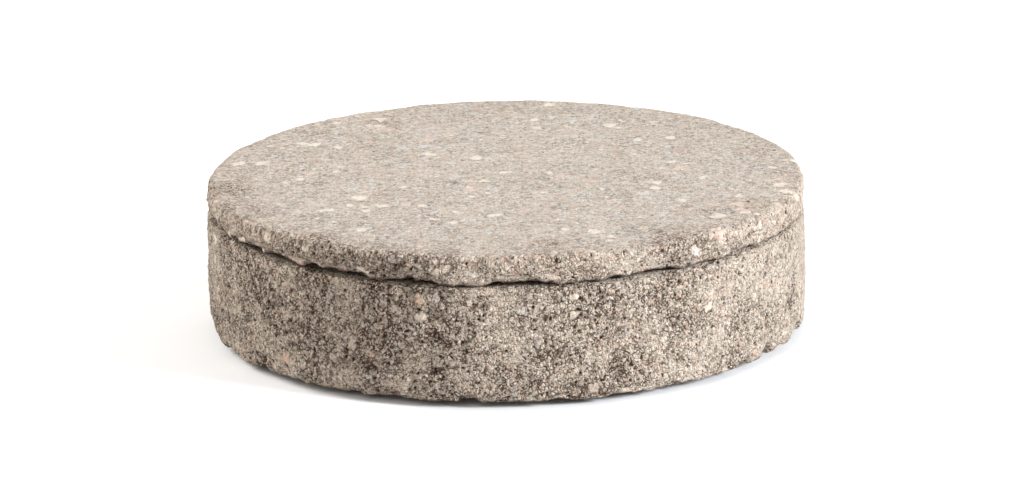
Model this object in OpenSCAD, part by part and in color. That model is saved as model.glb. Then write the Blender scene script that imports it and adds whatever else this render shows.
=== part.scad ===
// Garden candle holder of cast concrete: a low round bowl, a loose lid that drops into its
// mouth, and a refill candle in a tin cup. It stands on four small rubber pads.
// Frame: +Z up, origin on the ground at the centre of the bowl.

/* [Bowl] */
// Outside diameter of the bowl and of the lid
body_d = 230; // [195:1:300]
// Height of the bowl, from its underside to its rim
bowl_h = 46; // [38:1:80]
// Thickness of the bowl's floor
floor_t = 12; // [8:1:18]
// Slope of the recess wall in degrees, so that the casting leaves its mould
draft = 4; // [1:0.5:8]
// Fillet where the recess wall meets the floor
recess_fillet = 4; // [1:0.5:8]
// Rounding of the recess's mouth
mouth_r = 3; // [1:0.5:5]
// Rounding of the rim's outer edge
rim_edge_r = 1.5; // [0.5:0.25:3]
// Rounding of the bottom outer edge
foot_edge_r = 4; // [1:0.5:8]

/* [Lid] */
// Thickness of the lid above the bowl's rim
lid_t = 12; // [8:0.5:20]
// Depth of the plug that centres the lid in the recess
plug_h = 6; // [3:0.5:10]
// Gap between the plug and the recess wall
plug_gap = 3; // [1:0.5:6]
// Rounding of the lid's top edge
lid_edge_r = 2; // [0.5:0.25:4]
// Rounding of the lid's lower edge and of the plug's edge
lid_under_r = 1; // [0.5:0.25:2]

/* [Candle] */
// Outside diameter of the tin cup
cup_d = 162; // [120:1:190]
// Gap between the cup and the recess wall at the floor
candle_gap = 5; // [3:0.5:10]
// Gap between the cup's rim and the lid's plug
headroom = 4; // [2:0.5:8]
// Sheet thickness of the cup and of the wick clip
tin_t = 0.5; // [0.3:0.05:0.8]
// Corner radius where the cup's wall meets its base, outside
cup_corner_r = 2.5; // [1.5:0.25:3]
// Outer radius of the rolled rim
curl_r = 1.35; // [1:0.05:2]
// Depth of the wax surface below the cup's rim
wax_drop = 6.5; // [4:0.5:10]
// Gap left around the wax and around the wick by shrinkage
wax_gap = 0.2; // [0.1:0.05:0.5]

/* [Wick] */
// Diameter of the wick
wick_d = 12; // [6:0.5:20]
// Gap between the top of the wick and the lid's plug
wick_clear = 1.5; // [1:0.25:4]
// Rounding of the wick's top edge
wick_top_r = 1.5; // [0.5:0.25:2.5]
// Diameter of the clip's base plate
clip_d = 32; // [26:1:50]
// Height of the clip's collar above its plate
collar_h = 8; // [4:0.5:10]
// Gap between the wick and the collar
collar_gap = 0.1; // [0.05:0.05:0.3]

/* [Feet] */
// Diameter of a rubber pad
pad_d = 20; // [12:1:30]
// Thickness of a rubber pad
pad_h = 2; // [1:0.5:4]
// Distance from the bowl's side to a pad's centre
pad_inset = 25; // [20:1:40]

/* [Hidden] */
PAD_COUNT = 4;
$fn = 180;
ARC_STEPS = 6;
CURL_STEPS = 16;
CURL_END = -70;

body_r = body_d / 2;
rim_z = pad_h + bowl_h;
floor_z = pad_h + floor_t;
plug_z = rim_z - plug_h;
lid_top_z = rim_z + lid_t;

cup_r = cup_d / 2;
cup_rim_z = plug_z - headroom;
cup_floor_z = floor_z + tin_t;
cup_inner_r = cup_r - tin_t;
cup_inner_corner_r = cup_corner_r - tin_t;
curl_z = cup_rim_z - curl_r;
floor_fillet_r = min(recess_fillet, candle_gap);

wax_r = cup_inner_r - wax_gap;
wax_top_z = cup_rim_z - wax_drop;
clip_r = clip_d / 2;
clip_top_z = cup_floor_z + tin_t;
wick_r = wick_d / 2;
wick_top_z = plug_z - wick_clear;
collar_inner_r = wick_r + collar_gap;
collar_r = collar_inner_r + tin_t;
collar_top_z = min(clip_top_z + collar_h, wax_top_z - 2 * tin_t);

pad_circle_r = body_r - pad_inset;

// Radius of the recess wall at height z
function recess_r(z) = cup_r + candle_gap + (z - floor_z) * tan(draft);

// Points of an arc round [x, z], from angle a to angle b
function arc(x, z, r, a, b, steps = ARC_STEPS) =
    [for (i = [0 : steps]) let (t = a + (b - a) * i / steps) [x + r * cos(t), z + r * sin(t)]];

// Low round bowl with a drafted recess for the candle
module bowl() {
    color([0.66, 0.60, 0.53])
        rotate_extrude()
            polygon(concat(
                [[0, pad_h]],
                arc(body_r - foot_edge_r, pad_h + foot_edge_r, foot_edge_r, -90, 0),
                arc(body_r - rim_edge_r, rim_z - rim_edge_r, rim_edge_r, 0, 90),
                arc(recess_r(rim_z) + mouth_r, rim_z - mouth_r, mouth_r, 90, 180 - draft),
                arc(recess_r(floor_z) - floor_fillet_r, floor_z + floor_fillet_r,
                    floor_fillet_r, -draft, -90),
                [[0, floor_z]]
            ));
}

// Flat lid with a plug that drops into the recess
module lid() {
    plug_r = recess_r(plug_z) - plug_gap;
    color([0.78, 0.73, 0.67])
        rotate_extrude()
            polygon(concat(
                [[0, plug_z]],
                arc(plug_r - lid_under_r, plug_z + lid_under_r, lid_under_r, -90, -draft),
                [[recess_r(rim_z) - plug_gap, rim_z]],
                arc(body_r - lid_under_r, rim_z + lid_under_r, lid_under_r, -90, 0),
                arc(body_r - lid_edge_r, lid_top_z - lid_edge_r, lid_edge_r, 0, 90),
                [[0, lid_top_z]]
            ));
}

// Drawn tin cup with its rim rolled outwards
module candle_cup() {
    curl_x = cup_inner_r + curl_r;
    color([0.80, 0.81, 0.82])
        rotate_extrude()
            polygon(concat(
                [[0, floor_z]],
                arc(cup_r - cup_corner_r, floor_z + cup_corner_r, cup_corner_r, -90, 0),
                arc(curl_x, curl_z, curl_r - tin_t, 180, CURL_END, CURL_STEPS),
                arc(curl_x, curl_z, curl_r, CURL_END, 180, CURL_STEPS),
                arc(cup_inner_r - cup_inner_corner_r, cup_floor_z + cup_inner_corner_r,
                    cup_inner_corner_r, 0, -90),
                [[0, cup_floor_z]]
            ));
}

// Wax, cast round the wick and its clip
module wax() {
    bottom_r = cup_inner_corner_r;
    color([0.93, 0.90, 0.82])
        rotate_extrude()
            polygon(concat(
                [[clip_r + wax_gap, cup_floor_z]],
                arc(wax_r - bottom_r, cup_floor_z + bottom_r, bottom_r, -90, 0),
                [
                    [wax_r, wax_top_z],
                    [wick_r + wax_gap, wax_top_z],
                    [wick_r + wax_gap, collar_top_z + wax_gap],
                    [collar_r + wax_gap, collar_top_z + wax_gap],
                    [collar_r + wax_gap, clip_top_z + wax_gap],
                    [clip_r + wax_gap, clip_top_z + wax_gap]
                ]
            ));
}

// Thick round wick, standing on its clip's plate
module wick() {
    color([0.86, 0.82, 0.73])
        rotate_extrude()
            polygon(concat(
                [[0, clip_top_z], [wick_r, clip_top_z]],
                arc(wick_r - wick_top_r, wick_top_z - wick_top_r, wick_top_r, 0, 90),
                [[0, wick_top_z]]
            ));
}

// Tin plate with a collar that holds the wick upright
module wick_clip() {
    color([0.72, 0.73, 0.74])
        rotate_extrude()
            polygon([
                [0, cup_floor_z],
                [clip_r, cup_floor_z],
                [clip_r, clip_top_z],
                [collar_r, clip_top_z],
                [collar_r, collar_top_z],
                [collar_inner_r, collar_top_z],
                [collar_inner_r, clip_top_z],
                [0, clip_top_z]
            ]);
}

// Round rubber pad under the bowl, number i of PAD_COUNT
module foot_pad(i) {
    color([0.12, 0.12, 0.12])
        rotate(45 + 360 * (i - 1) / PAD_COUNT)
            translate([pad_circle_r, 0, 0])
                cylinder(d = pad_d, h = pad_h);
}

bowl();
lid();
candle_cup();
wax();
wick();
wick_clip();
for (i = [1 : PAD_COUNT])
    foot_pad(i);
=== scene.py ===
"""Visual model of a concrete candle holder: bowl, lid, wax and wick as detailed meshes, the rest as CAD."""
import math
import random

import bpy
import numpy as np
from mathutils import Matrix, Vector, noise


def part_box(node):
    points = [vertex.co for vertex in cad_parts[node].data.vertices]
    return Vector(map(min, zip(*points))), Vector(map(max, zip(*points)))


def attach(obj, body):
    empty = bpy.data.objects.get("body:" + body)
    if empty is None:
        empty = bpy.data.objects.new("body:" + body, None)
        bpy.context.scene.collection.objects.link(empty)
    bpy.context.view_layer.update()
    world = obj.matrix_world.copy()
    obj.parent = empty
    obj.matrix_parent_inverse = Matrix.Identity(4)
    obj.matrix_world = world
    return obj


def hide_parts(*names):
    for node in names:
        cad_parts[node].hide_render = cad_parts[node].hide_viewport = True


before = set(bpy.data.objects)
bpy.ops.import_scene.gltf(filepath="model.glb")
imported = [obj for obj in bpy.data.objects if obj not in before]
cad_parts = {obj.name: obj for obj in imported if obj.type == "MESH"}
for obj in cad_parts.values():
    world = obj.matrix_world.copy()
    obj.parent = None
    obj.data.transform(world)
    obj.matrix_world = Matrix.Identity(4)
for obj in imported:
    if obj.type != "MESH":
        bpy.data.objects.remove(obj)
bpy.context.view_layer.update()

MM = 0.001

# Point spacings of the stone meshes: outer sides, lid's top near its edge and further in, rims, walls
# inside, and flat faces that hide
FINE = 0.72 * MM
TOP_EDGE = 0.9 * MM
TOP_FIELD = 1.05 * MM
MEDIUM = 1.1 * MM
INNER = 1.6 * MM
COARSE = 2.4 * MM
# The most and the fewest points round a ring
FINEST_COUNT = 960
FEWEST_COUNT = 12

bowl_low, bowl_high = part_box("bowl")
lid_low, lid_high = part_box("lid")
cup_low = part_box("candle_cup")[0]
wax_low, wax_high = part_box("wax")
wick_low, wick_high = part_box("wick")
clip_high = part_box("wick_clip")[1]
BODY_R = float(bowl_high[0])
BASE_Z = float(bowl_low[2])
RIM_Z = float(bowl_high[2])
PLUG_Z = float(lid_low[2])
TOP_Z = float(lid_high[2])
RECESS_FLOOR_Z = float(cup_low[2])
RECESS_R = 86 * MM
DRAFT = math.tan(math.radians(4))
PLUG_GAP = 3 * MM
wick_r = float(wick_high[0])
wax_top = float(wax_high[2])
chance = random.Random(7)


# ---------------------------------------------------------------- node trees

class Net:
    """Adds nodes to a shader or geometry tree. A socket or a plain value may feed any input."""

    def __init__(self, tree):
        self.tree = tree

    def node(self, kind, inputs=None, **settings):
        made = self.tree.nodes.new(kind)
        for name, value in settings.items():
            setattr(made, name, value)
        for name, value in (inputs or {}).items():
            self.feed(made.inputs[name], value)
        return made

    def feed(self, socket, value):
        if isinstance(value, bpy.types.NodeSocket):
            self.tree.links.new(value, socket)
        else:
            socket.default_value = value

    def math(self, operation, *values):
        made = self.node("ShaderNodeMath", operation=operation)
        for socket, value in zip(made.inputs, values):
            self.feed(socket, value)
        return made.outputs[0]

    def add(self, *values):
        total = values[0]
        for value in values[1:]:
            total = self.math("ADD", total, value)
        return total

    def times(self, *values):
        product = values[0]
        for value in values[1:]:
            product = self.math("MULTIPLY", product, value)
        return product

    def vector(self, operation, a, b):
        made = self.node("ShaderNodeVectorMath", operation=operation)
        self.feed(made.inputs[0], a)
        self.feed(made.inputs["Scale"] if operation == "SCALE" else made.inputs[1], b)
        return made.outputs["Value" if operation == "DOT_PRODUCT" else "Vector"]

    def fade(self, value, low, high, out_low=0.0, out_high=1.0):
        """Smooth step from out_low, at or below low, to out_high, at or above high."""
        inputs = {"Value": value, "From Min": low, "From Max": high, "To Min": out_low, "To Max": out_high}
        return self.node("ShaderNodeMapRange", inputs, interpolation_type="SMOOTHSTEP").outputs["Result"]

    def noise(self, place, size, detail=2.0, roughness=0.5):
        """Soft noise from about 0.2 to 0.8, with blobs of about the size given."""
        inputs = {"Vector": place, "Scale": 1 / size, "Detail": detail, "Roughness": roughness}
        return self.node("ShaderNodeTexNoise", inputs).outputs[0]

    def warp(self, place, size, amount):
        """place moved about by up to half of amount, in blobs of the size given."""
        inputs = {"Vector": place, "Scale": 1 / size, "Detail": 1.0}
        colour = self.node("ShaderNodeTexNoise", inputs).outputs["Color"]
        centred = self.vector("SUBTRACT", colour, (0.5, 0.5, 0.5))
        return self.vector("ADD", place, self.vector("SCALE", centred, amount))

    def cells(self, place, size):
        """Distance to the nearest of scattered points, in cell sizes, and its cell's random numbers."""
        made = self.node("ShaderNodeTexVoronoi", {"Vector": place, "Scale": 1 / size})
        parts = self.node("ShaderNodeSeparateXYZ", {"Vector": made.outputs["Color"]})
        return made.outputs["Distance"], parts.outputs[0], parts.outputs[1], parts.outputs[2]

    def mix(self, factor, a, b, blend="MIX"):
        """Colour a, turning into b as factor goes from 0 to 1."""
        made = self.node("ShaderNodeMix", data_type="RGBA", blend_type=blend)
        self.feed(made.inputs[0], factor)
        self.feed(made.inputs[6], a)
        self.feed(made.inputs[7], b)
        return made.outputs[2]

    def palette(self, value, stops):
        """Colour bands: stops is a list of (where it starts, colour)."""
        made = self.node("ShaderNodeValToRGB", {"Fac": value})
        ramp = made.color_ramp
        ramp.interpolation = "CONSTANT"
        ramp.elements[0].position, ramp.elements[0].color = stops[0][0], stops[0][1]
        ramp.elements[1].position, ramp.elements[1].color = stops[1][0], stops[1][1]
        for start, colour in stops[2:]:
            ramp.elements.new(start).color = colour
        return made.outputs["Color"]


def new_material(name):
    """A material, its node tree to add to, and its shader."""
    material = bpy.data.materials.new(name)
    material.use_nodes = True
    return material, Net(material.node_tree), material.node_tree.nodes["Principled BSDF"]


def rgb(red, green, blue):
    """Linear colour from values that read as on a screen, 0 to 255."""
    def linear(v):
        v /= 255
        return v / 12.92 if v <= 0.04045 else ((v + 0.055) / 1.055) ** 2.4
    return (linear(red), linear(green), linear(blue), 1.0)


# ---------------------------------------------------------------- concrete

# Dark brown: the tone of the dark blotches, and the painted shade in the pores, the gaps between grains, the
# grooves round stones and the lid's seam
DARK_TONE_AND_SHADE = rgb(70, 46, 31)
MORTAR = rgb(160, 152, 141)
BOWL_BODY = rgb(230, 213, 193)
BOWL_SKIN = rgb(230, 217, 202)
LID_BODY = rgb(234, 217, 198)
LID_SKIN = rgb(189, 182, 174)

# What the colours are multiplied by in the end: rough sides of the bowl, of the lid, and the trowelled skin
BOWL_TONE = (0.93, 0.915, 0.91, 1)
LID_TONE = (0.98, 0.95, 0.94, 1)
SKIN_TONE = (0.9, 0.915, 0.935, 1)

# Attributes painted on the turned shapes: skin is 1 where the concrete is trowelled, wear is 1 on edges
# that crumble, rough scales the whole relief, and lift raises the lid's lower edge off the rim
PAINTS = ("skin", "wear", "rough", "lift")

# Patches of the lid's top where the skin is open: degrees round from the front to the right, radius and
# half size in mm
WORN = [
    (63, 106, 15), (9, 98, 9), (-82, 105, 13), (35, 108, 9),
    (-40, 110, 8), (110, 100, 9), (-150, 96, 12),
]

# Places where a bigger piece broke out, or stands proud: degrees round from the front to the right,
# height, half the length round the wall, half the height and depth, in mm. A negative depth stands proud.
BREAKS = [
    (-88, 0, 16, 9, 9.0), (-70, 0, 7, 5, 4.2), (-61, 4, 4, 5, -1.0), (-55, 0, 3, 5, 4.4),
    (-32, 13.5, 15, 1.6, 1.5), (-44, 8, 6, 3, -0.8), (-22, 9, 9, 3.5, -0.7), (-8, 3, 4, 3, 1.2),
    (14, 34, 6, 1.4, 1.3), (-14, 37, 4, 2.0, 1.4), (52, 3, 4, 4, 1.8), (60, 3, 4, 5, 2.8),
    (68, 6, 6, 4, -0.8), (76, 3, 6, 5, 2.6), (71, 11, 4, 3, 1.4), (128, 4, 8, 5, 2.4),
    (158, 30, 5, 2, 1.3), (-118, 3, 7, 6, 2.6), (-150, 20, 6, 1.6, 1.2), (100, 5, 5, 4, 1.8),
]


def stones(net, place, size, share, least=0.2, most=0.42):
    """Rounded stones in a share of the cells: how far they stand out, the grooves round them for painted
    shade, a random number.
    """
    near, pick, width, shade = net.cells(net.warp(place, size * 0.45, size * 0.6), size)
    reach = net.fade(width, 0.0, 1.0, least, most)
    here = net.math("GREATER_THAN", pick, 1 - share)
    dome = net.fade(near, reach, net.times(reach, 0.6))
    # The ring is a groove round each stone, drawn only as painted shade in the colour, not in the mesh
    ring = net.times(net.fade(near, net.times(reach, 1.4), reach), net.math("SUBTRACT", 1.0, dome))
    part = net.fade(net.noise(place, size * 0.8), 0.4, 0.6)
    return net.times(dome, here), net.times(ring, part, here), shade


def sand(net, place, size, open_zone):
    """Packed grains, one in every cell: from 0 at a rim to 1 on top, the gaps, which the material paints as
    shade, and a random number.

    The gaps are wider in the open zones.
    """
    packed = net.warp(net.warp(place, size * 2.2, size * 1.5), size * 0.6, size * 0.6)
    _, shade, _, _ = net.cells(packed, size)
    inputs = {"Vector": packed, "Scale": 1 / size}
    rim = net.node("ShaderNodeTexVoronoi", inputs, feature="DISTANCE_TO_EDGE")
    distance = rim.outputs["Distance"]
    widest = net.fade(open_zone, 0.0, 1.0, 0.1, 0.27)
    width = net.fade(net.noise(place, size * 1.6, 3.0, 0.6), 0.38, 0.66, 0.0, widest)
    return net.fade(distance, 0.0, 0.3), net.fade(distance, width, net.times(width, 0.35)), shade


def worn(net, place):
    """Where the trowelled skin is open, 0 to 0.85."""
    total = 0.0
    rough_place = net.warp(place, 5 * MM, 9 * MM)
    for turn, radius, size in WORN:
        angle = math.radians(turn)
        centre = (radius * MM * math.sin(angle), -radius * MM * math.cos(angle), TOP_Z)
        offset = net.vector("SUBTRACT", rough_place, centre)
        squares = net.vector("DOT_PRODUCT", offset, offset)
        total = net.add(total, net.fade(squares, (size * MM) ** 2, 0.0))
    speckle = net.fade(net.noise(place, 2 * MM, 3.0), 0.38, 0.6)
    return net.math("MINIMUM", net.times(total, speckle), 0.85)


def openness(net, place):
    """How open the pores are: 0 in dense patches, 1 in crumbly ones, most of which are front and left."""
    drift = net.vector("DOT_PRODUCT", place, (-0.6, -1.4, 0))
    return net.fade(net.add(net.noise(place, 22 * MM, 4.0, 0.6), drift), 0.24, 0.94)


def pores(net, place, size, share, open_zone):
    """Holes between the grains, 0 to 1, denser in the open zones."""
    near, pick, width, _ = net.cells(net.warp(place, size, size), size)
    limit = net.fade(open_zone, 0.0, 1.0, 1 - share * 0.45, 1 - share)
    reach = net.fade(width, 0.0, 1.0, 0.22, 0.5)
    return net.times(net.fade(near, reach, net.times(reach, 0.35)), net.math("GREATER_THAN", pick, limit))


def relief_parts(net, place):
    """The fields that both the mesh and the material are made from."""
    open_zone = openness(net, place)
    pebble, pebble_groove, pebble_shade = stones(net, place, 6.5 * MM, 0.3, 0.2, 0.4)
    grit, grit_groove, grit_shade = stones(net, place, 3 * MM, 0.42, 0.25, 0.5)
    grain, grain_gap, grain_shade = sand(net, place, 1.5 * MM, open_zone)
    return {
        "open": open_zone,
        "pebble": pebble, "pebble_groove": pebble_groove, "pebble_shade": pebble_shade,
        "grit": grit, "grit_groove": grit_groove, "grit_shade": grit_shade,
        "grain": grain, "grain_gap": grain_gap, "grain_shade": grain_shade,
        "pore": pores(net, place, 2.1 * MM, 0.55, open_zone),
        "pit": pores(net, place, 7 * MM, 0.2, open_zone),
        "lump": net.noise(place, 8 * MM, 4.0, 0.6),
        "swell": net.noise(place, 42 * MM, 2.0),
    }


def broken(net, place):
    """Depth in mm of the single breaks."""
    total = 0.0
    for turn, height, length, tall, depth in BREAKS:
        angle = math.radians(turn)
        outward = Vector((math.sin(angle), -math.cos(angle), 0))
        centre = outward * BODY_R + Vector((0, 0, height * MM))
        along = Vector((math.cos(angle), math.sin(angle), 0))
        offset = net.vector("SUBTRACT", place, tuple(centre))
        across = net.math("DIVIDE", net.vector("DOT_PRODUCT", offset, tuple(along)), length * MM)
        up = net.math("DIVIDE", net.vector("DOT_PRODUCT", offset, (0, 0, 1)), tall * MM)
        inward = net.math("DIVIDE", net.vector("DOT_PRODUCT", offset, tuple(outward)), 12 * MM)
        squares = net.add(*(net.times(v, v) for v in (across, up, inward)))
        total = net.add(total, net.fade(squares, 1.0, 0.5, 0.0, depth))
    return total


def grain_height(net, parts, on_bare):
    """Height in mm of swells, lumps, stones and grains, less the pores and pits."""
    coarse = net.fade(parts["open"], 0.0, 1.0, 0.35, 1.0)
    return net.add(
        net.times(net.math("SUBTRACT", parts["swell"], 0.5), 1.4),
        net.times(net.math("SUBTRACT", parts["lump"], 0.5), on_bare(2.2, 0.5)),
        net.times(parts["pebble"], coarse, on_bare(0.45, 0.04)),
        net.times(parts["grit"], coarse, on_bare(0.25, 0.04)),
        net.times(parts["grain"], coarse, on_bare(0.2, 0.04)),
        net.times(parts["pore"], on_bare(-1.1, -0.2)),
        net.times(parts["pit"], on_bare(-1.3, -0.35)),
    )


def edge_wear(net, place, wear):
    """Height in mm, below 0, of what has crumbled off the worn edges."""
    chip = net.fade(net.noise(place, 12 * MM, 2.0), 0.46, 0.66)
    crumble = net.fade(net.noise(place, 4 * MM, 3.0), 0.35, 0.7)
    return net.times(wear, net.add(net.times(chip, -0.9), net.times(crumble, -0.9)))


def seam_gap(net, place):
    """Height in mm of the gap under the lid's edge: wavy, narrow at the right, and wide at the left."""
    scallops = net.noise(net.warp(place, 5 * MM, 5 * MM), 15 * MM, 1.0)
    ragged = net.math("SUBTRACT", net.noise(place, 3.5 * MM, 3.0, 0.6), 0.5)
    wave = net.add(net.fade(scallops, 0.42, 0.6, 0.7, 2.2), net.times(ragged, 1.6))
    sits = net.fade(net.vector("DOT_PRODUCT", place, (0.9, 0.3, 0)), 0.04, 0.09, 1.0, 0.35)
    gapes = net.fade(net.vector("DOT_PRODUCT", place, (-1, 0, 0)), 0.03, 0.1, 0.0, 1.4)
    return net.add(net.times(wave, sits), gapes)


def displace_group(name, breaks, proud, lean):
    """Geometry nodes that turn a smooth, painted shape into rough cast concrete.

    breaks says that the single breaks are in it: the bowl has those, and the lid has the worn patches.
    proud moves the bare side out, in mm, and lean moves it out at the front and in at the back.
    """
    tree = bpy.data.node_groups.new(name, "GeometryNodeTree")
    tree.interface.new_socket("Geometry", in_out="INPUT", socket_type="NodeSocketGeometry")
    tree.interface.new_socket("Geometry", in_out="OUTPUT", socket_type="NodeSocketGeometry")
    net = Net(tree)
    start = net.node("NodeGroupInput")
    end = net.node("NodeGroupOutput")

    def painted(label):
        made = net.node("GeometryNodeInputNamedAttribute", data_type="FLOAT")
        made.inputs["Name"].default_value = label
        return made.outputs["Attribute"]

    place = net.node("GeometryNodeInputPosition").outputs[0]
    normal = net.node("GeometryNodeInputNormal").outputs[0]
    skin, wear, rough, lift = (painted(label) for label in PAINTS)
    if not breaks:
        skin = net.times(skin, net.math("SUBTRACT", 1.0, worn(net, place)))

    def on_bare(bare_mm, skin_mm):
        return net.fade(skin, 0.0, 1.0, bare_mm, skin_mm)

    ahead = net.vector("DOT_PRODUCT", place, (0, -1 / BODY_R, 0))
    height = net.add(
        on_bare(proud, 0.0),
        net.times(ahead, on_bare(lean, 0.0)),
        grain_height(net, relief_parts(net, place), on_bare),
        edge_wear(net, place, wear),
    )
    if breaks:
        height = net.math("SUBTRACT", height, broken(net, place))
    shift = net.vector("SCALE", normal, net.times(height, rough, MM))
    raised = net.node("ShaderNodeCombineXYZ", {"Z": net.times(seam_gap(net, place), lift, MM)}).outputs[0]
    keep = net.node("GeometryNodeStoreNamedAttribute", data_type="FLOAT_VECTOR", domain="POINT")
    keep.inputs["Name"].default_value = "rest"
    tree.links.new(start.outputs[0], keep.inputs["Geometry"])
    tree.links.new(place, keep.inputs["Value"])
    move = net.node("GeometryNodeSetPosition", {"Offset": net.vector("ADD", shift, raised)})
    tree.links.new(keep.outputs["Geometry"], move.inputs["Geometry"])
    tree.links.new(move.outputs["Geometry"], end.inputs[0])
    return tree


# Colour bands for the grains, the rounded stones and the flat flakes in the skin
SAND_TINTS = [
    (0.0, rgb(148, 134, 118)), (0.14, rgb(196, 184, 168)), (0.42, rgb(220, 209, 194)),
    (0.62, rgb(238, 228, 212)), (0.78, rgb(230, 190, 160)), (0.84, rgb(214, 178, 160)),
    (0.87, rgb(226, 214, 196)), (0.91, rgb(254, 250, 240)), (0.95, rgb(92, 76, 64)),
]
STONE_TINTS = [
    (0.0, rgb(186, 174, 161)), (0.36, rgb(206, 194, 179)), (0.6, rgb(208, 176, 154)),
    (0.68, rgb(224, 213, 196)), (0.76, rgb(160, 143, 128)), (0.88, rgb(196, 162, 148)),
    (0.93, rgb(192, 190, 186)),
]
FLAKE_TINTS = [
    (0.0, rgb(200, 189, 177)), (0.16, rgb(226, 216, 202)), (0.36, rgb(216, 188, 175)),
    (0.54, rgb(240, 232, 217)), (0.68, rgb(178, 155, 140)), (0.82, rgb(208, 208, 208)),
]


def sandy_tint(net, place, parts, dust_shade, on_bare, skin_colour, body_colour):
    """Colour of mortar and grains: grey mortar in dense patches, sand of many tints in crumbly ones."""
    cloud = net.fade(net.noise(place, 16 * MM, 4.0, 0.65), 0.3, 0.7)
    blotch = net.fade(net.noise(place, 6 * MM, 5.0, 0.7), 0.35, 0.68)
    mortar = net.mix(parts["open"], MORTAR, body_colour)
    base = net.mix(cloud, mortar, net.mix(0.6, mortar, skin_colour))
    base = net.mix(on_bare(0.0, 0.9), base, skin_colour)
    base = net.mix(net.times(blotch, on_bare(0.1, 0.14)), base, DARK_TONE_AND_SHADE)
    sandy = net.fade(parts["open"], 0.0, 1.0, 0.35, 0.55)
    tinted = net.mix(on_bare(sandy, 0.4), base, net.palette(parts["grain_shade"], SAND_TINTS))
    dusty = on_bare(net.times(sandy, 0.85), 0.33)
    return net.mix(dusty, tinted, net.palette(dust_shade, SAND_TINTS))


def skin_gap_shade(net, place):
    """How much painted shade the gaps between the grains get in the skin: more in patches, most of them near
    the rim.
    """
    flat = net.vector("MULTIPLY", place, (1, 1, 0))
    rim = net.fade(net.vector("DOT_PRODUCT", flat, flat), (55 * MM) ** 2, BODY_R ** 2)
    patches = net.add(net.noise(place, 11 * MM, 4.0, 0.6), net.times(rim, 0.14))
    return net.fade(net.fade(patches, 0.46, 0.72), 0.0, 1.0, 0.12, 0.5)


def add_stones(net, parts, colour, coarse, skin, on_bare):
    """The colour with its grit and pebbles, and painted shade in the grooves round them."""
    for layer, share in (("grit", 0.6), ("pebble", 0.62)):
        shade = parts[layer + "_shade"]
        tints = net.mix(skin, net.palette(shade, STONE_TINTS), net.palette(shade, FLAKE_TINTS))
        # Painted shade in the grooves round the grit and pebbles
        groove = net.times(parts[layer + "_groove"], coarse, on_bare(0.65, 0.2))
        colour = net.mix(groove, colour, DARK_TONE_AND_SHADE)
        colour = net.mix(net.times(parts[layer], on_bare(share, 0.8)), colour, tints)
    return colour


def add_flakes(net, place, colour, on_bare):
    """The lid's colour with painted shade on its lower edge, where it sits over the rim, and flat flakes,
    and the share that isn't flake.
    """
    height = net.node("ShaderNodeSeparateXYZ", {"Vector": place}).outputs[2]
    # Painted shade on the lid's lower edge and underside, in the seam over the rim
    seam = net.fade(height, RIM_Z + 1.2 * MM, RIM_Z)
    colour = net.mix(net.times(seam, 0.7), colour, DARK_TONE_AND_SHADE)
    flake, _, shade = stones(net, place, 9 * MM, 0.6, 0.16, 0.42)
    colour = net.mix(net.times(flake, on_bare(0.4, 0.5)), colour, net.palette(shade, FLAKE_TINTS))
    return colour, net.fade(flake, 0.0, 1.0, 1.0, 0.2)


def fine_relief(net, place, parts, dust, fine_pore):
    """Height of the grain that is too fine for the mesh, for the bump."""
    return net.add(
        net.times(parts["grit"], 0.4),
        net.times(parts["grain"], 0.7),
        net.times(parts["grain_gap"], -0.4),
        net.times(dust, 0.3),
        net.times(fine_pore, -0.8),
        net.times(net.noise(place, 0.5 * MM, 3.0), 0.7),
    )


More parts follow.
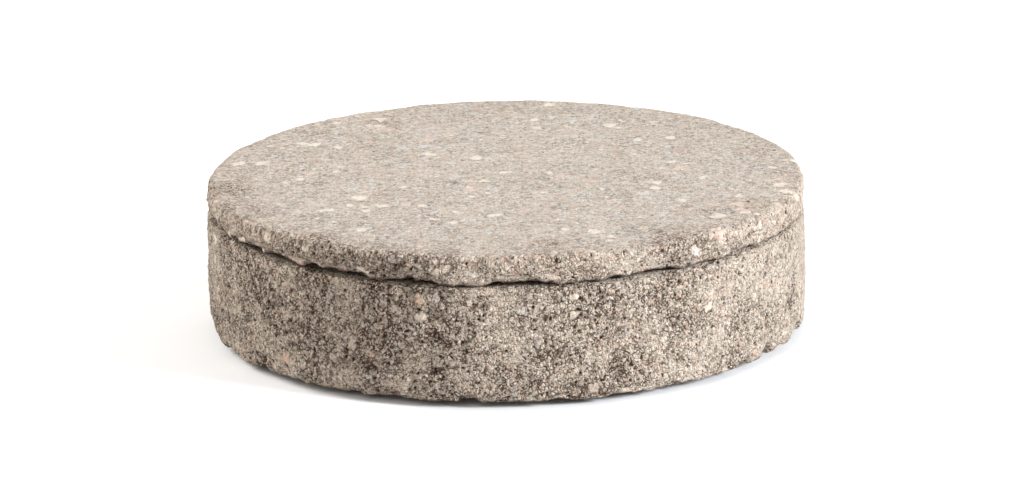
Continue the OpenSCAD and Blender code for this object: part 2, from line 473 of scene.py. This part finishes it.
def concrete(name, lid):
    """Sandy concrete: packed grains and stones of several colours, painted shade in its pores and in the
    gaps and grooves between grains and stones, a closed trowelled skin.
    """
    bowl_colours, lid_colours = (BOWL_SKIN, BOWL_BODY, BOWL_TONE), (LID_SKIN, LID_BODY, LID_TONE)
    skin_colour, body_colour, bare_tone = lid_colours if lid else bowl_colours
    # How much painted shade the gaps and grooves get on bare sides, from dense to open zones
    least_gap_shade, most_gap_shade = (0.35, 0.75) if lid else (0.5, 1.0)
    material, net, shader = new_material(name)
    place = net.node("ShaderNodeAttribute", attribute_name="rest").outputs["Vector"]
    skin = net.node("ShaderNodeAttribute", attribute_name="skin").outputs["Fac"]
    if lid:
        skin = net.times(skin, net.math("SUBTRACT", 1.0, worn(net, place)))
    parts = relief_parts(net, place)
    dust, dust_gap, dust_shade = sand(net, place, 0.75 * MM, parts["open"])
    fine_pore = pores(net, place, 1.1 * MM, 0.62, parts["open"])

    def on_bare(bare, skinned):
        return net.fade(skin, 0.0, 1.0, bare, skinned)

    coarse = net.fade(skin, 0.0, 1.0, net.fade(parts["open"], 0.0, 1.0, least_gap_shade, most_gap_shade), 0.7)
    gaps = skin_gap_shade(net, place)
    colour = sandy_tint(net, place, parts, dust_shade, on_bare, skin_colour, body_colour)
    # Painted shade in the gaps between the grains and the finer dust: deep on bare sides, more in open
    # zones, and in patches of the skin
    colour = net.mix(net.times(parts["grain_gap"], coarse, on_bare(0.95, gaps)), colour, DARK_TONE_AND_SHADE)
    colour = net.mix(net.times(dust_gap, coarse, on_bare(0.6, gaps)), colour, DARK_TONE_AND_SHADE)
    colour = add_stones(net, parts, colour, coarse, skin, on_bare)
    between = net.fade(parts["pebble"], 0.0, 1.0, 1.0, 0.2)
    if lid:
        colour, off_flakes = add_flakes(net, place, colour, on_bare)
        between = net.times(between, off_flakes)
    # Painted shade in the pores and pits, less on the stones and flakes
    for hole, share in ((fine_pore, 0.95), (parts["pore"], 1.0), (parts["pit"], 0.35)):
        colour = net.mix(net.times(hole, between, on_bare(share, share * 0.5)), colour, DARK_TONE_AND_SHADE)
    colour = net.mix(1.0, colour, net.mix(skin, bare_tone, SKIN_TONE), "MULTIPLY")

    bare_strength = net.fade(parts["open"], 0.0, 1.0, 0.6, 1.0)
    strength = net.times(on_bare(bare_strength, 0.5), net.fade(between, 0.0, 1.0, 0.3, 1.0))
    height = fine_relief(net, place, parts, dust, fine_pore)
    bump = net.node("ShaderNodeBump", {"Height": height, "Strength": strength, "Distance": MM})
    net.feed(shader.inputs["Base Color"], colour)
    net.feed(shader.inputs["Normal"], bump.outputs["Normal"])
    net.feed(shader.inputs["Roughness"], net.fade(net.noise(place, 3 * MM), 0.3, 0.7, 0.82, 0.97))
    shader.inputs["Specular IOR Level"].default_value = 0.3
    return material


# ---------------------------------------------------------------- turned shapes

def arc(x, z, radius, start, end, step):
    """Points of an arc round (x, z), between two angles in degrees, about step apart."""
    count = max(2, math.ceil(abs(math.radians(end - start)) * radius / step))
    angles = np.radians(np.linspace(start, end, count + 1))
    return [(x + radius * math.cos(a), z + radius * math.sin(a)) for a in angles]


def line(start, end, step):
    """Points from start to end, about step apart, without the two ends."""
    count = max(1, round(math.dist(start, end) / step))
    return [tuple(p) for p in np.linspace(start, end, count + 1)[1:-1]]


def ring_counts(rings):
    """Points on each ring: the finest count, or a half, a quarter and so on, to lie about spacing apart.

    Neighbouring rings have the same count, or one has twice the other's.
    """
    slack = 1.45
    counts = []
    for radius, _, spacing, *_ in rings:
        wanted = FINEST_COUNT
        while wanted > FEWEST_COUNT and 2 * math.pi * radius / (wanted / 2) <= spacing * slack:
            wanted //= 2
        counts.append(wanted)
    for order in (range(1, len(counts)), range(len(counts) - 2, -1, -1)):
        for i in order:
            near = counts[i - 1] if order.step > 0 else counts[i + 1]
            counts[i] = max(counts[i], near // 2)
    return counts


def turned(name, rings):
    """Mesh of revolution. rings are (radius, z, spacing, paint...) from one end of the axis to the other."""
    counts = ring_counts(rings)
    points, faces, starts = [], [], []
    for (radius, z, *_), count in zip(rings, counts):
        starts.append(len(points))
        turn = 2 * math.pi * np.arange(count) / count
        points.extend(zip(radius * np.cos(turn), radius * np.sin(turn), np.full(count, z)))
    for i in range(len(rings) - 1):
        faces.extend(band(starts[i], counts[i], starts[i + 1], counts[i + 1]))
    low, high = len(points), len(points) + 1
    points.extend([(0, 0, rings[0][1]), (0, 0, rings[-1][1])])
    first, last = counts[0], counts[-1]
    faces.extend((low, (k + 1) % first, k) for k in range(first))
    faces.extend((high, starts[-1] + k, starts[-1] + (k + 1) % last) for k in range(last))
    mesh = bpy.data.meshes.new(name)
    mesh.from_pydata(points, [], faces)
    for channel, label in enumerate(PAINTS):
        values = np.concatenate(
            [np.full(c, r[3 + channel], float) for r, c in zip(rings, counts)]
            + [[rings[0][3 + channel], rings[-1][3 + channel]]]
        )
        mesh.attributes.new(label, "FLOAT", "POINT").data.foreach_set("value", values)
    mesh.shade_smooth()
    return mesh


def band(a, count_a, b, count_b):
    """Faces between two rings, where one may have twice the points of the other."""
    if count_a == count_b:
        return [(a + k, a + (k + 1) % count_a, b + (k + 1) % count_b, b + k) for k in range(count_a)]
    if count_a > count_b:
        return [face[::-1] for face in band(b, count_b, a, count_a)]
    faces = []
    for k in range(count_a):
        here, there = a + k, a + (k + 1) % count_a
        fine = [b + (2 * k + j) % count_b for j in range(3)]
        faces.extend([(here, fine[1], fine[0]), (here, there, fine[1]), (there, fine[2], fine[1])])
    return faces


def solid(mesh, body, material, slot, *nodes):
    """A finished piece: rides on body, takes material and stands for the CAD nodes."""
    piece = bpy.data.objects.new(mesh.name, mesh)
    bpy.context.scene.collection.objects.link(piece)
    mesh.materials.append(material)
    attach(piece, body)
    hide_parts(*nodes)
    return piece


def roughened(name, mesh, relief):
    """The mesh with the relief applied, as plain geometry."""
    rough = bpy.data.objects.new(name + "_smooth", mesh)
    bpy.context.scene.collection.objects.link(rough)
    modifier = rough.modifiers.new("relief", "NODES")
    modifier.node_group = relief
    depsgraph = bpy.context.evaluated_depsgraph_get()
    done = bpy.data.meshes.new_from_object(rough.evaluated_get(depsgraph))
    bpy.data.objects.remove(rough)
    bpy.data.meshes.remove(mesh)
    done.name = name
    lay_out(done)
    return done


def lay_out(mesh):
    """UV map for baking: two discs for what faces down and up, half turns of the walls below them."""
    corners = np.zeros(len(mesh.loops), int)
    mesh.loops.foreach_get("vertex_index", corners)
    rest = np.zeros(len(mesh.vertices) * 3)
    mesh.attributes["rest"].data.foreach_get("vector", rest)
    rest = rest.reshape(-1, 3)
    starts = np.zeros(len(mesh.polygons), int)
    mesh.polygons.foreach_get("loop_start", starts)
    sizes = np.zeros(len(mesh.polygons), int)
    mesh.polygons.foreach_get("loop_total", sizes)
    face_of = np.repeat(np.arange(len(starts)), sizes)
    x, y, z = rest[corners].T
    radius = np.hypot(x, y)

    def per_face(operation, values):
        return operation.reduceat(values, starts)

    rise = per_face(np.maximum, z) - per_face(np.minimum, z)
    run = per_face(np.maximum, radius) - per_face(np.minimum, radius)
    wall = (rise > run)[face_of]
    centre_z = (per_face(np.add, z) / sizes)[face_of]
    centre_r = (per_face(np.add, radius) / sizes)[face_of]
    centre_turn = np.arctan2(per_face(np.add, y), per_face(np.add, x))[face_of]
    turn = centre_turn + (np.arctan2(y, x) - centre_turn + math.pi) % (2 * math.pi) - math.pi
    outer = centre_r > BODY_R - 8 * MM
    facing_up = centre_z > (TOP_Z - 4 * MM if z.max() > RIM_Z + 5 * MM else BASE_Z + 6 * MM)

    scale = 0.5 / (2 * BODY_R + 4 * MM)
    half = (centre_turn > 0).astype(float)
    tall = (z.max() - z.min() + 2 * MM) * scale
    row = half + 2 * (~outer)
    along = (turn + math.pi - half * math.pi) * np.where(outer, BODY_R, RECESS_R) * scale + 4 * MM * scale
    u = np.where(wall, along, x * scale + 0.25 + 0.5 * facing_up)
    v = np.where(wall, 0.49 - (row + 1) * tall + (z - z.min() + MM) * scale, y * scale + 0.75)
    flat = np.column_stack((u, v)).ravel()
    mesh.uv_layers.new(name="OFBake").data.foreach_set("uv", flat)


def painted_rings(spans, lift=lambda x, z: 0.0):
    """Rings from spans of (points, spacing, skin, wear, rough)."""
    return [(x, z, spacing, skin, wear, rough, lift(x, z))
            for points, spacing, skin, wear, rough in spans for x, z in points]


# ---------------------------------------------------------------- the pieces

def recess_r(z):
    """Radius of the recess's wall at a height."""
    return RECESS_R + (z - RECESS_FLOOR_Z) * DRAFT


def bowl_mesh():
    """The bowl from the middle of its base, out and up its side, over the rim and down into the recess."""
    foot, edge, mouth, fillet = 3 * MM, 1.5 * MM, 3 * MM, 4 * MM
    wall_top = (recess_r(RIM_Z - mouth), RIM_Z - mouth)
    wall_foot = (recess_r(RECESS_FLOOR_Z + fillet), RECESS_FLOOR_Z + fillet)
    spans = [
        (line((2 * MM, BASE_Z), (BODY_R - 14 * MM, BASE_Z), COARSE), COARSE, 0.6, 0, 0.35),
        (line((BODY_R - 14 * MM, BASE_Z), (BODY_R - foot, BASE_Z), MEDIUM), MEDIUM, 0, 0.5, 0.8),
        (arc(BODY_R - foot, BASE_Z + foot, foot, -90, 0, FINE), FINE, 0, 1, 1),
        (line((BODY_R, BASE_Z + foot), (BODY_R, BASE_Z + 2.4 * foot), FINE), FINE, 0, 0.5, 1),
        (line((BODY_R, BASE_Z + 2.4 * foot), (BODY_R, RIM_Z - edge), FINE), FINE, 0, 0, 1),
        (arc(BODY_R - edge, RIM_Z - edge, edge, 0, 90, FINE), FINE, 0, 0.35, 1),
        (line((BODY_R - edge, RIM_Z), (recess_r(RIM_Z) + mouth, RIM_Z), MEDIUM), MEDIUM, 0.5, 0, 0.5),
        (arc(recess_r(RIM_Z) + mouth, RIM_Z - mouth, mouth, 90, 176, MEDIUM), MEDIUM, 0.3, 0.2, 0.8),
        (line(wall_top, wall_foot, INNER), INNER, 0.4, 0, 0.8),
        (arc(RECESS_R - fillet, RECESS_FLOOR_Z + fillet, fillet, -4, -90, COARSE / 2), COARSE, 0.4, 0, 0.7),
        (line((RECESS_R - fillet, RECESS_FLOOR_Z), (2 * MM, RECESS_FLOOR_Z), COARSE), COARSE, 0.6, 0, 0.3),
    ]
    return turned("bowl_stone", painted_rings(spans))


def lid_mesh():
    """The lid from the middle of its plug, out to its lower edge, up its side and in over its top."""
    edge, under = 2.6 * MM, 1 * MM
    plug_low, plug_high = recess_r(PLUG_Z) - PLUG_GAP, recess_r(RIM_Z) - PLUG_GAP
    spans = [
        (line((2 * MM, PLUG_Z), (plug_low - under, PLUG_Z), COARSE), COARSE, 0.6, 0, 0.4),
        (arc(plug_low - under, PLUG_Z + under, under, -90, -4, MEDIUM), MEDIUM, 0.3, 0.3, 0.8),
        (line((plug_low, PLUG_Z + under), (plug_high, RIM_Z), MEDIUM), MEDIUM, 0.3, 0, 0.7),
        (line((plug_high, RIM_Z), (BODY_R - under, RIM_Z), INNER), INNER, 0.3, 0, 0.5),
        (arc(BODY_R - under, RIM_Z + under, under, -90, 0, FINE), FINE, 0, 0.8, 1),
        (line((BODY_R, RIM_Z + under), (BODY_R, TOP_Z - edge), FINE), FINE, 0, 0, 1),
        (arc(BODY_R - edge, TOP_Z - edge, edge, 0, 45, FINE), FINE, 0.1, 0.15, 1),
        (arc(BODY_R - edge, TOP_Z - edge, edge, 50, 90, FINE), FINE, 0.5, 0.25, 1),
        (line((BODY_R - edge, TOP_Z), (BODY_R - 8 * MM, TOP_Z), TOP_EDGE), TOP_EDGE, 0.75, 0.1, 0.9),
        (line((BODY_R - 8 * MM, TOP_Z), (BODY_R - 14 * MM, TOP_Z), TOP_EDGE), TOP_EDGE, 0.9, 0, 0.8),
        (line((BODY_R - 14 * MM, TOP_Z), (2 * MM, TOP_Z), TOP_FIELD), TOP_FIELD, 1, 0, 0.8),
    ]

    def lift(x, z):
        """1 at the lower edge, fading inwards under the lid and up its side."""
        under_edge = 1.3 - (BODY_R - x) / (11 * MM)
        up_side = 1 - (z - RIM_Z - under) / (5 * MM)
        return max(0.0, min(1.0, under_edge, up_side)) if z >= RIM_Z - 0.1 * MM else 0.0

    return turned("lid_stone", painted_rings(spans, lift))


bowl_concrete = concrete("bowl_concrete", lid=False)
lid_concrete = concrete("lid_concrete", lid=True)
bowl_relief = displace_group("bowl_relief", breaks=True, proud=0.05, lean=-0.3)
lid_relief = displace_group("lid_relief", breaks=False, proud=0.1, lean=0.6)
bowl_stone = roughened("bowl_stone", bowl_mesh(), bowl_relief)
lid_stone = roughened("lid_stone", lid_mesh(), lid_relief)
solid(bowl_stone, "bowl", bowl_concrete, "bowl_concrete", "bowl")
solid(lid_stone, "lid", lid_concrete, "lid_concrete", "lid")


# ---------------------------------------------------------------- candle

def looped(name, profile, count):
    """Mesh of revolution of a closed profile of (radius, z) that doesn't touch the axis."""
    turn = 2 * math.pi * np.arange(count) / count
    points = [(x * math.cos(a), x * math.sin(a), z) for x, z in profile for a in turn]
    faces = []
    for i in range(len(profile)):
        faces.extend(band(i * count, count, (i + 1) % len(profile) * count, count))
    mesh = bpy.data.meshes.new(name)
    mesh.from_pydata(points, [], faces)
    mesh.shade_smooth()
    return mesh


def wax_mesh():
    """Cast wax round the wick: raised a little at the cup's wall and at the wick, dished between."""
    x, low, top = float(wax_high[0]), float(wax_low[2]), float(wax_high[2])
    bore, collar, plate = wick_r + 0.05 * MM, wick_r + 0.8 * MM, float(clip_high[0]) + 0.2 * MM
    collar_z, plate_z, corner = float(clip_high[2]) + 0.2 * MM, low + 0.7 * MM, 2.2 * MM
    creep, dish = 5 * MM, 0.8 * MM

    def surface(radius):
        wall = math.exp(-(x - radius) / creep)
        wick = math.exp(-(radius - bore) / (1.2 * creep))
        return top - 0.05 * MM - dish * (1 - max(wall, 0.7 * wick))

    across = np.linspace(x - 0.3 * MM, bore + 0.3 * MM, 90)
    profile = [
        *line((plate, low), (x - corner, low), COARSE),
        *arc(x - corner, low + corner, corner, -90, 0, 0.5 * MM),
        *line((x, low + corner), (x, surface(x) - 0.4 * MM), COARSE),
        (x, surface(x) - 0.3 * MM),
        *((radius, surface(radius)) for radius in across),
        (bore, surface(bore) - 0.3 * MM),
        *line((bore, surface(bore) - 0.3 * MM), (bore, collar_z), 1.5 * MM),
        (bore, collar_z), (collar, collar_z), (collar, plate_z), (plate, plate_z), (plate, low),
    ]
    mesh = looped("wax_body", profile, 320)
    for vertex in mesh.vertices:
        if vertex.co.z > top - 1.3 * dish and bore + 0.2 * MM < vertex.co.xy.length < x - 0.2 * MM:
            swell = noise.fractal(vertex.co / (14 * MM), 1.0, 2.0, 3)
            ripple = noise.noise(vertex.co / (3 * MM))
            vertex.co.z += max(-0.25, min(0.0, 0.14 * swell + 0.03 * ripple - 0.08)) * MM
    return mesh


def wax_material():
    """Ivory wax: cloudy, softly glossy, with a paler bloom."""
    material, net, shader = new_material("candle_wax")
    place = net.node("ShaderNodeTexCoord").outputs["Object"]
    cloud = net.fade(net.noise(net.warp(place, 20 * MM, 14 * MM), 15 * MM, 5.0, 0.62), 0.35, 0.65)
    bloom = net.fade(net.noise(place, 2.2 * MM, 5.0, 0.7), 0.42, 0.7)
    fleck_near, fleck_pick, _, _ = net.cells(net.warp(place, 3 * MM, 3 * MM), 5 * MM)
    fleck = net.times(net.fade(fleck_near, 0.16, 0.04), net.math("GREATER_THAN", fleck_pick, 0.82))
    colour = net.mix(cloud, rgb(212, 196, 164), rgb(222, 209, 182))
    colour = net.mix(net.times(bloom, 0.45), colour, rgb(232, 223, 202))
    colour = net.mix(net.times(fleck, 0.5), colour, rgb(190, 170, 132))
    height = net.add(net.times(net.noise(place, 5 * MM, 3.0), 0.5), net.times(bloom, 0.12))
    bump = net.node("ShaderNodeBump", {"Height": height, "Strength": 0.35, "Distance": MM})
    net.feed(shader.inputs["Base Color"], colour)
    net.feed(shader.inputs["Normal"], bump.outputs["Normal"])
    net.feed(shader.inputs["Roughness"], net.fade(bloom, 0.0, 1.0, 0.34, 0.56))
    shader.inputs["IOR"].default_value = 1.44
    shader.inputs["Subsurface Weight"].default_value = 0.4
    shader.inputs["Subsurface Radius"].default_value = (1.0, 0.7, 0.4)
    shader.inputs["Subsurface Scale"].default_value = 5 * MM
    return material


# The wick: strands of the plait each way, length of one strand's crossing, groove depth, rounded shoulder,
# points round it, and how many ends stand out of its top
WICK_STRANDS = 9
WICK_LAY = 3.4 * MM
WICK_GROOVE = 0.55 * MM
WICK_SHOULDER = 1.5 * MM
WICK_COUNT = 180
YARN_ENDS = 52
LOOSE_FIBRES = 40


def plaited(turn, z):
    """How far the plait stands out, from 0 in a groove to 1 on top of a yarn."""
    left, right = turn * WICK_STRANDS + z / WICK_LAY, turn * WICK_STRANDS - z / WICK_LAY
    over = (math.floor(left) + math.floor(right)) % 2 == 0
    long, short = (left, right) if over else (right, left)
    round_yarn = math.sin(math.pi * (long % 1)) ** 0.6
    return round_yarn * (0.55 + 0.45 * math.sin(math.pi * (short % 1)))


def wick_shaft(low, body_top):
    """Rings of points up the plait and over its rounded shoulder."""
    bend = body_top - WICK_SHOULDER
    rings = []
    for z in [*np.arange(low, bend, 0.22 * MM), *np.linspace(bend, body_top, 12)]:
        shoulder = max(0.0, (z - body_top + WICK_SHOULDER) / WICK_SHOULDER)
        ring = []
        for k in range(WICK_COUNT):
            turn = k / WICK_COUNT
            fuzz = noise.noise(Vector((60 * turn, z / (1.1 * MM), 0))) * 0.05 * MM
            groove = WICK_GROOVE * (1 - plaited(turn, z))
            radius = wick_r - 0.06 * MM - groove + fuzz - 1.3 * MM * shoulder ** 2.5
            angle = 2 * math.pi * turn
            ring.append((radius * math.cos(angle), radius * math.sin(angle), z))
        rings.append(ring)
    return rings


def wick_crown(edge, body_top):
    """Rings of points inwards from the shoulder's edge, over the uneven top."""
    rings = []
    for inward in (0.85, 0.7, 0.55, 0.4, 0.25, 0.12):
        ring = []
        for x, y, _ in edge:
            place = Vector((x * inward, y * inward, 0))
            ends = noise.noise(place / (0.9 * MM)) * 0.25 * MM
            ring.append((place.x, place.y, body_top + ends * min(1.0, 3 * (1 - inward))))
        rings.append(ring)
    return rings


def wick_mesh():
    """Thick plaited cotton wick with a worn top, and loose ends of yarn standing out of it."""
    low, top = float(wick_low[2]), float(wick_high[2])
    body_top = top - 1.6 * MM
    rings = wick_shaft(low, body_top)
    rings += wick_crown(rings[-1], body_top)
    points = [point for ring in rings for point in ring]
    faces = []
    for i in range(len(rings) - 1):
        faces.extend(band(i * WICK_COUNT, WICK_COUNT, (i + 1) * WICK_COUNT, WICK_COUNT))
    last = (len(rings) - 1) * WICK_COUNT
    points.extend([(0, 0, body_top), (0, 0, low)])
    faces.extend((last + k, last + (k + 1) % WICK_COUNT, len(points) - 2) for k in range(WICK_COUNT))
    faces.extend(((k + 1) % WICK_COUNT, k, len(points) - 1) for k in range(WICK_COUNT))
    add_yarn_ends(points, faces, body_top, top)
    add_fibres(points, faces, body_top, top)
    mesh = bpy.data.meshes.new("wick_plait")
    mesh.from_pydata(points, [], faces)
    mesh.shade_smooth()
    return mesh


def add_yarn_ends(points, faces, body_top, top):
    """Thick ends of yarn, spread evenly over the top."""
    golden = math.radians(137.5)
    for i in range(YARN_ENDS):
        out = 5.2 * MM * math.sqrt((i + 0.5) / YARN_ENDS)
        side = Vector((math.cos(i * golden), math.sin(i * golden), 0))
        root = side * out + Vector((0, 0, body_top - 0.5 * MM))
        tall = chance.uniform(0.75, 1.5) * MM
        lean = side * chance.uniform(-0.1, 0.25) * tall
        reach = Vector((0, 0, tall)) + lean
        add_yarn(points, faces, root, reach, lean, chance.uniform(0.3, 0.46) * MM, top)


def add_fibres(points, faces, body_top, top):
    """Thin bent fibres between the ends of yarn."""
    for _ in range(LOOSE_FIBRES):
        side = Matrix.Rotation(chance.uniform(0, 2 * math.pi), 3, "Z") @ Vector((1, 0, 0))
        root = side * chance.uniform(0.5, 5.3) * MM + Vector((0, 0, body_top))
        tall = chance.uniform(0.6, 1.5) * MM
        bend = Vector((chance.uniform(-1, 1), chance.uniform(-1, 1), -0.3)) * tall * 0.6
        add_yarn(points, faces, root, Vector((0, 0, tall)), bend, chance.uniform(0.04, 0.07) * MM, top)


def add_yarn(points, faces, root, reach, bend, thick, top, sides=9, steps=7):
    """One yarn or fibre end: a bent tube with a rounded tip, kept below top and inside the wick."""
    first = len(points)
    for step in range(steps):
        t = step / (steps - 1)
        centre = root + reach * t + bend * t * t
        around = thick * math.sqrt(1.03 - t ** 4)
        for k in range(sides):
            a = 2 * math.pi * k / sides
            point = Vector((centre.x + around * math.cos(a), centre.y + around * math.sin(a), 0))
            point *= min(1, (wick_r - 0.15 * MM) / max(point.length, MM))
            points.append((point.x, point.y, min(centre.z, top - 0.05 * MM)))
        if step:
            faces.extend(band(first + (step - 1) * sides, sides, first + step * sides, sides))
    last = first + (steps - 1) * sides
    faces.append(tuple(last + k for k in range(sides)))
    faces.append(tuple(first + k for k in reversed(range(sides))))


def wick_material():
    """Raw cotton yarn, waxed and yellower towards its foot, with painted shade between the strands."""
    material, net, shader = new_material("wick_cotton")
    place = net.node("ShaderNodeTexCoord").outputs["Object"]
    parts = net.node("ShaderNodeSeparateXYZ", {"Vector": place})
    squares = (net.math("POWER", parts.outputs[axis], 2.0) for axis in (0, 1))
    across = net.math("SQRT", net.add(*squares))
    sunk = net.fade(across, wick_r - 0.25 * MM, wick_r - 0.75 * MM)
    groove = net.times(sunk, net.fade(across, 4 * MM, 4.8 * MM))
    waxed = net.fade(parts.outputs[2], wax_top + 6 * MM, wax_top)
    stretched = net.vector("MULTIPLY", place, (1, 1, 0.35))
    fibre = net.fade(net.noise(stretched, 0.35 * MM, 4.0, 0.65), 0.35, 0.65)
    colour = net.mix(fibre, rgb(186, 171, 142), rgb(224, 213, 190))
    # Painted shade in the grooves between the strands
    colour = net.mix(net.times(groove, 0.7), colour, rgb(120, 98, 68))
    colour = net.mix(net.times(waxed, 0.5), colour, rgb(212, 194, 156))
    bump = net.node("ShaderNodeBump", {"Height": fibre, "Strength": 0.6, "Distance": 0.12 * MM})
    net.feed(shader.inputs["Base Color"], colour)
    net.feed(shader.inputs["Normal"], bump.outputs["Normal"])
    net.feed(shader.inputs["Roughness"], net.fade(waxed, 0.0, 1.0, 0.9, 0.45))
    shader.inputs["Sheen Weight"].default_value = 0.15
    return material


def tinplate(name, size):
    """Bright tinned sheet: faint crystals, drawing lines round the axis, and small dull marks."""
    material, net, shader = new_material(name)
    place = net.node("ShaderNodeTexCoord").outputs["Object"]
    _, crystal, _, _ = net.cells(net.warp(place, size, size * 0.5), size)
    lines = net.noise(net.vector("MULTIPLY", place, (0.02, 0.02, 1)), 0.5 * MM, 3.0, 0.7)
    smudge = net.fade(net.noise(place, 9 * MM, 5.0, 0.65), 0.45, 0.7)
    mark = net.fade(net.noise(net.vector("MULTIPLY", place, (1, 0.15, 1)), 1.1 * MM, 4.0, 0.75), 0.62, 0.72)
    colour = net.mix(net.times(crystal, 0.35), rgb(206, 207, 208), rgb(188, 190, 194))
    colour = net.mix(net.times(smudge, 0.4), colour, rgb(176, 174, 170))
    colour = net.mix(net.times(mark, 0.3), colour, rgb(150, 148, 144))
    rough = net.add(net.times(crystal, 0.08), net.times(smudge, 0.14), net.times(mark, 0.12), 0.22)
    height = net.add(net.times(lines, 0.5), net.times(crystal, 0.15), net.times(mark, -0.2))
    bump = net.node("ShaderNodeBump", {"Height": height, "Strength": 0.25, "Distance": 0.1 * MM})
    net.feed(shader.inputs["Base Color"], colour)
    net.feed(shader.inputs["Roughness"], rough)
    net.feed(shader.inputs["Normal"], bump.outputs["Normal"])
    shader.inputs["Metallic"].default_value = 1.0
    return material


def pad_rubber():
    """Matt dark grey rubber, dusty, with a fine grain."""
    material, net, shader = new_material("pad_rubber")
    place = net.node("ShaderNodeTexCoord").outputs["Object"]
    dust = net.fade(net.noise(place, 2.5 * MM, 5.0, 0.7), 0.42, 0.72)
    grain = net.noise(place, 0.3 * MM, 3.0)
    net.feed(shader.inputs["Base Color"], net.mix(net.times(dust, 0.5), rgb(52, 51, 50), rgb(110, 104, 97)))
    bump = net.node("ShaderNodeBump", {"Height": grain, "Strength": 0.4, "Distance": 0.1 * MM})
    net.feed(shader.inputs["Normal"], bump.outputs["Normal"])
    net.feed(shader.inputs["Roughness"], net.fade(dust, 0.0, 1.0, 0.62, 0.88))
    return material


def finish_cad(material, *nodes):
    """Gives CAD nodes that stay in view their material."""
    for node in nodes:
        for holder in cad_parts[node].material_slots:
            holder.material = material


solid(wax_mesh(), "candle", wax_material(), "wax", "wax")
solid(wick_mesh(), "candle", wick_material(), "wick_fibre", "wick")
finish_cad(tinplate("cup_tinplate", 7 * MM), "candle_cup")
finish_cad(tinplate("clip_tinplate", 3 * MM), "wick_clip")
finish_cad(pad_rubber(), "foot_pad_1", "foot_pad_2", "foot_pad_3", "foot_pad_4")


# ---------------------------------------------------------------- stage

FLOOR_SIZE = 30
FLOOR_LIT = (0.7, 0.7, 0.7, 1)
FLOOR_SEEN = (0.95, 0.975, 1.0, 1)
WORLD_LIT = (0.52, 0.5, 0.48, 1)
WORLD_SEEN = (1, 1, 1, 1)


def studio():
    """Pale floor, a soft key light from the right, a weaker one behind at the left, and a faint fill.

    Floor and world are whiter to the camera than to the light that they give back.
    """
    bpy.ops.mesh.primitive_plane_add(size=FLOOR_SIZE)
    floor = bpy.context.object
    floor.name = "floor"
    paper, net, shader = new_material("floor_paper")
    seen = net.node("ShaderNodeLightPath").outputs["Is Camera Ray"]
    net.feed(shader.inputs["Base Color"], net.mix(seen, FLOOR_LIT, FLOOR_SEEN))
    shader.inputs["Roughness"].default_value = 0.9
    floor.data.materials.append(paper)

    world = bpy.data.worlds.new("studio")
    bpy.context.scene.world = world
    world.use_nodes = True
    net = Net(world.node_tree)
    background = world.node_tree.nodes["Background"]
    seen = net.node("ShaderNodeLightPath").outputs["Is Camera Ray"]
    net.feed(background.inputs["Color"], net.mix(seen, WORLD_LIT, WORLD_SEEN))
    soft_light("key", (1.5, -0.78, 0.7), size=0.5, power=48, colour=(0.95, 0.98, 1.02))
    soft_light("back_left", (-1.3, 0.65, 0.85), size=0.8, power=24, colour=(1.0, 0.97, 0.94))
    soft_light("fill", (-0.75, -1.3, 1.0), size=1.0, power=6.5, colour=(1.0, 0.93, 0.86))


def soft_light(name, place, size, power, colour):
    """A round area light that faces the object."""
    data = bpy.data.lights.new(name, "AREA")
    data.color = colour
    data.shape = "DISK"
    data.size = size
    data.energy = power
    light = bpy.data.objects.new(name, data)
    bpy.context.scene.collection.objects.link(light)
    light.location = place
    light.rotation_euler = (-Vector(place)).to_track_quat("-Z", "Y").to_euler()


def camera():
    """Long lens, about 16 degrees above the horizon, with the slight roll of the original view."""
    distance, elevation, roll = 3.6, math.radians(15.87), math.radians(0.9)
    aim = Vector((0, 0, (TOP_Z + BASE_Z) / 2))
    data = bpy.data.cameras.new("camera")
    data.sensor_width = 36
    data.lens = 327
    data.clip_end = 100
    view = bpy.data.objects.new("camera", data)
    bpy.context.scene.collection.objects.link(view)
    view.location = aim + distance * Vector((0, -math.cos(elevation), math.sin(elevation)))
    tilt = Matrix.Rotation(math.pi / 2 - elevation, 4, "X")
    view.rotation_euler = (tilt @ Matrix.Rotation(-roll, 4, "Z")).to_euler()
    data.shift_x = 0.005
    data.shift_y = 0.002
    bpy.context.scene.camera = view


studio()
camera()
bpy.context.scene.view_settings.view_transform = "Standard"
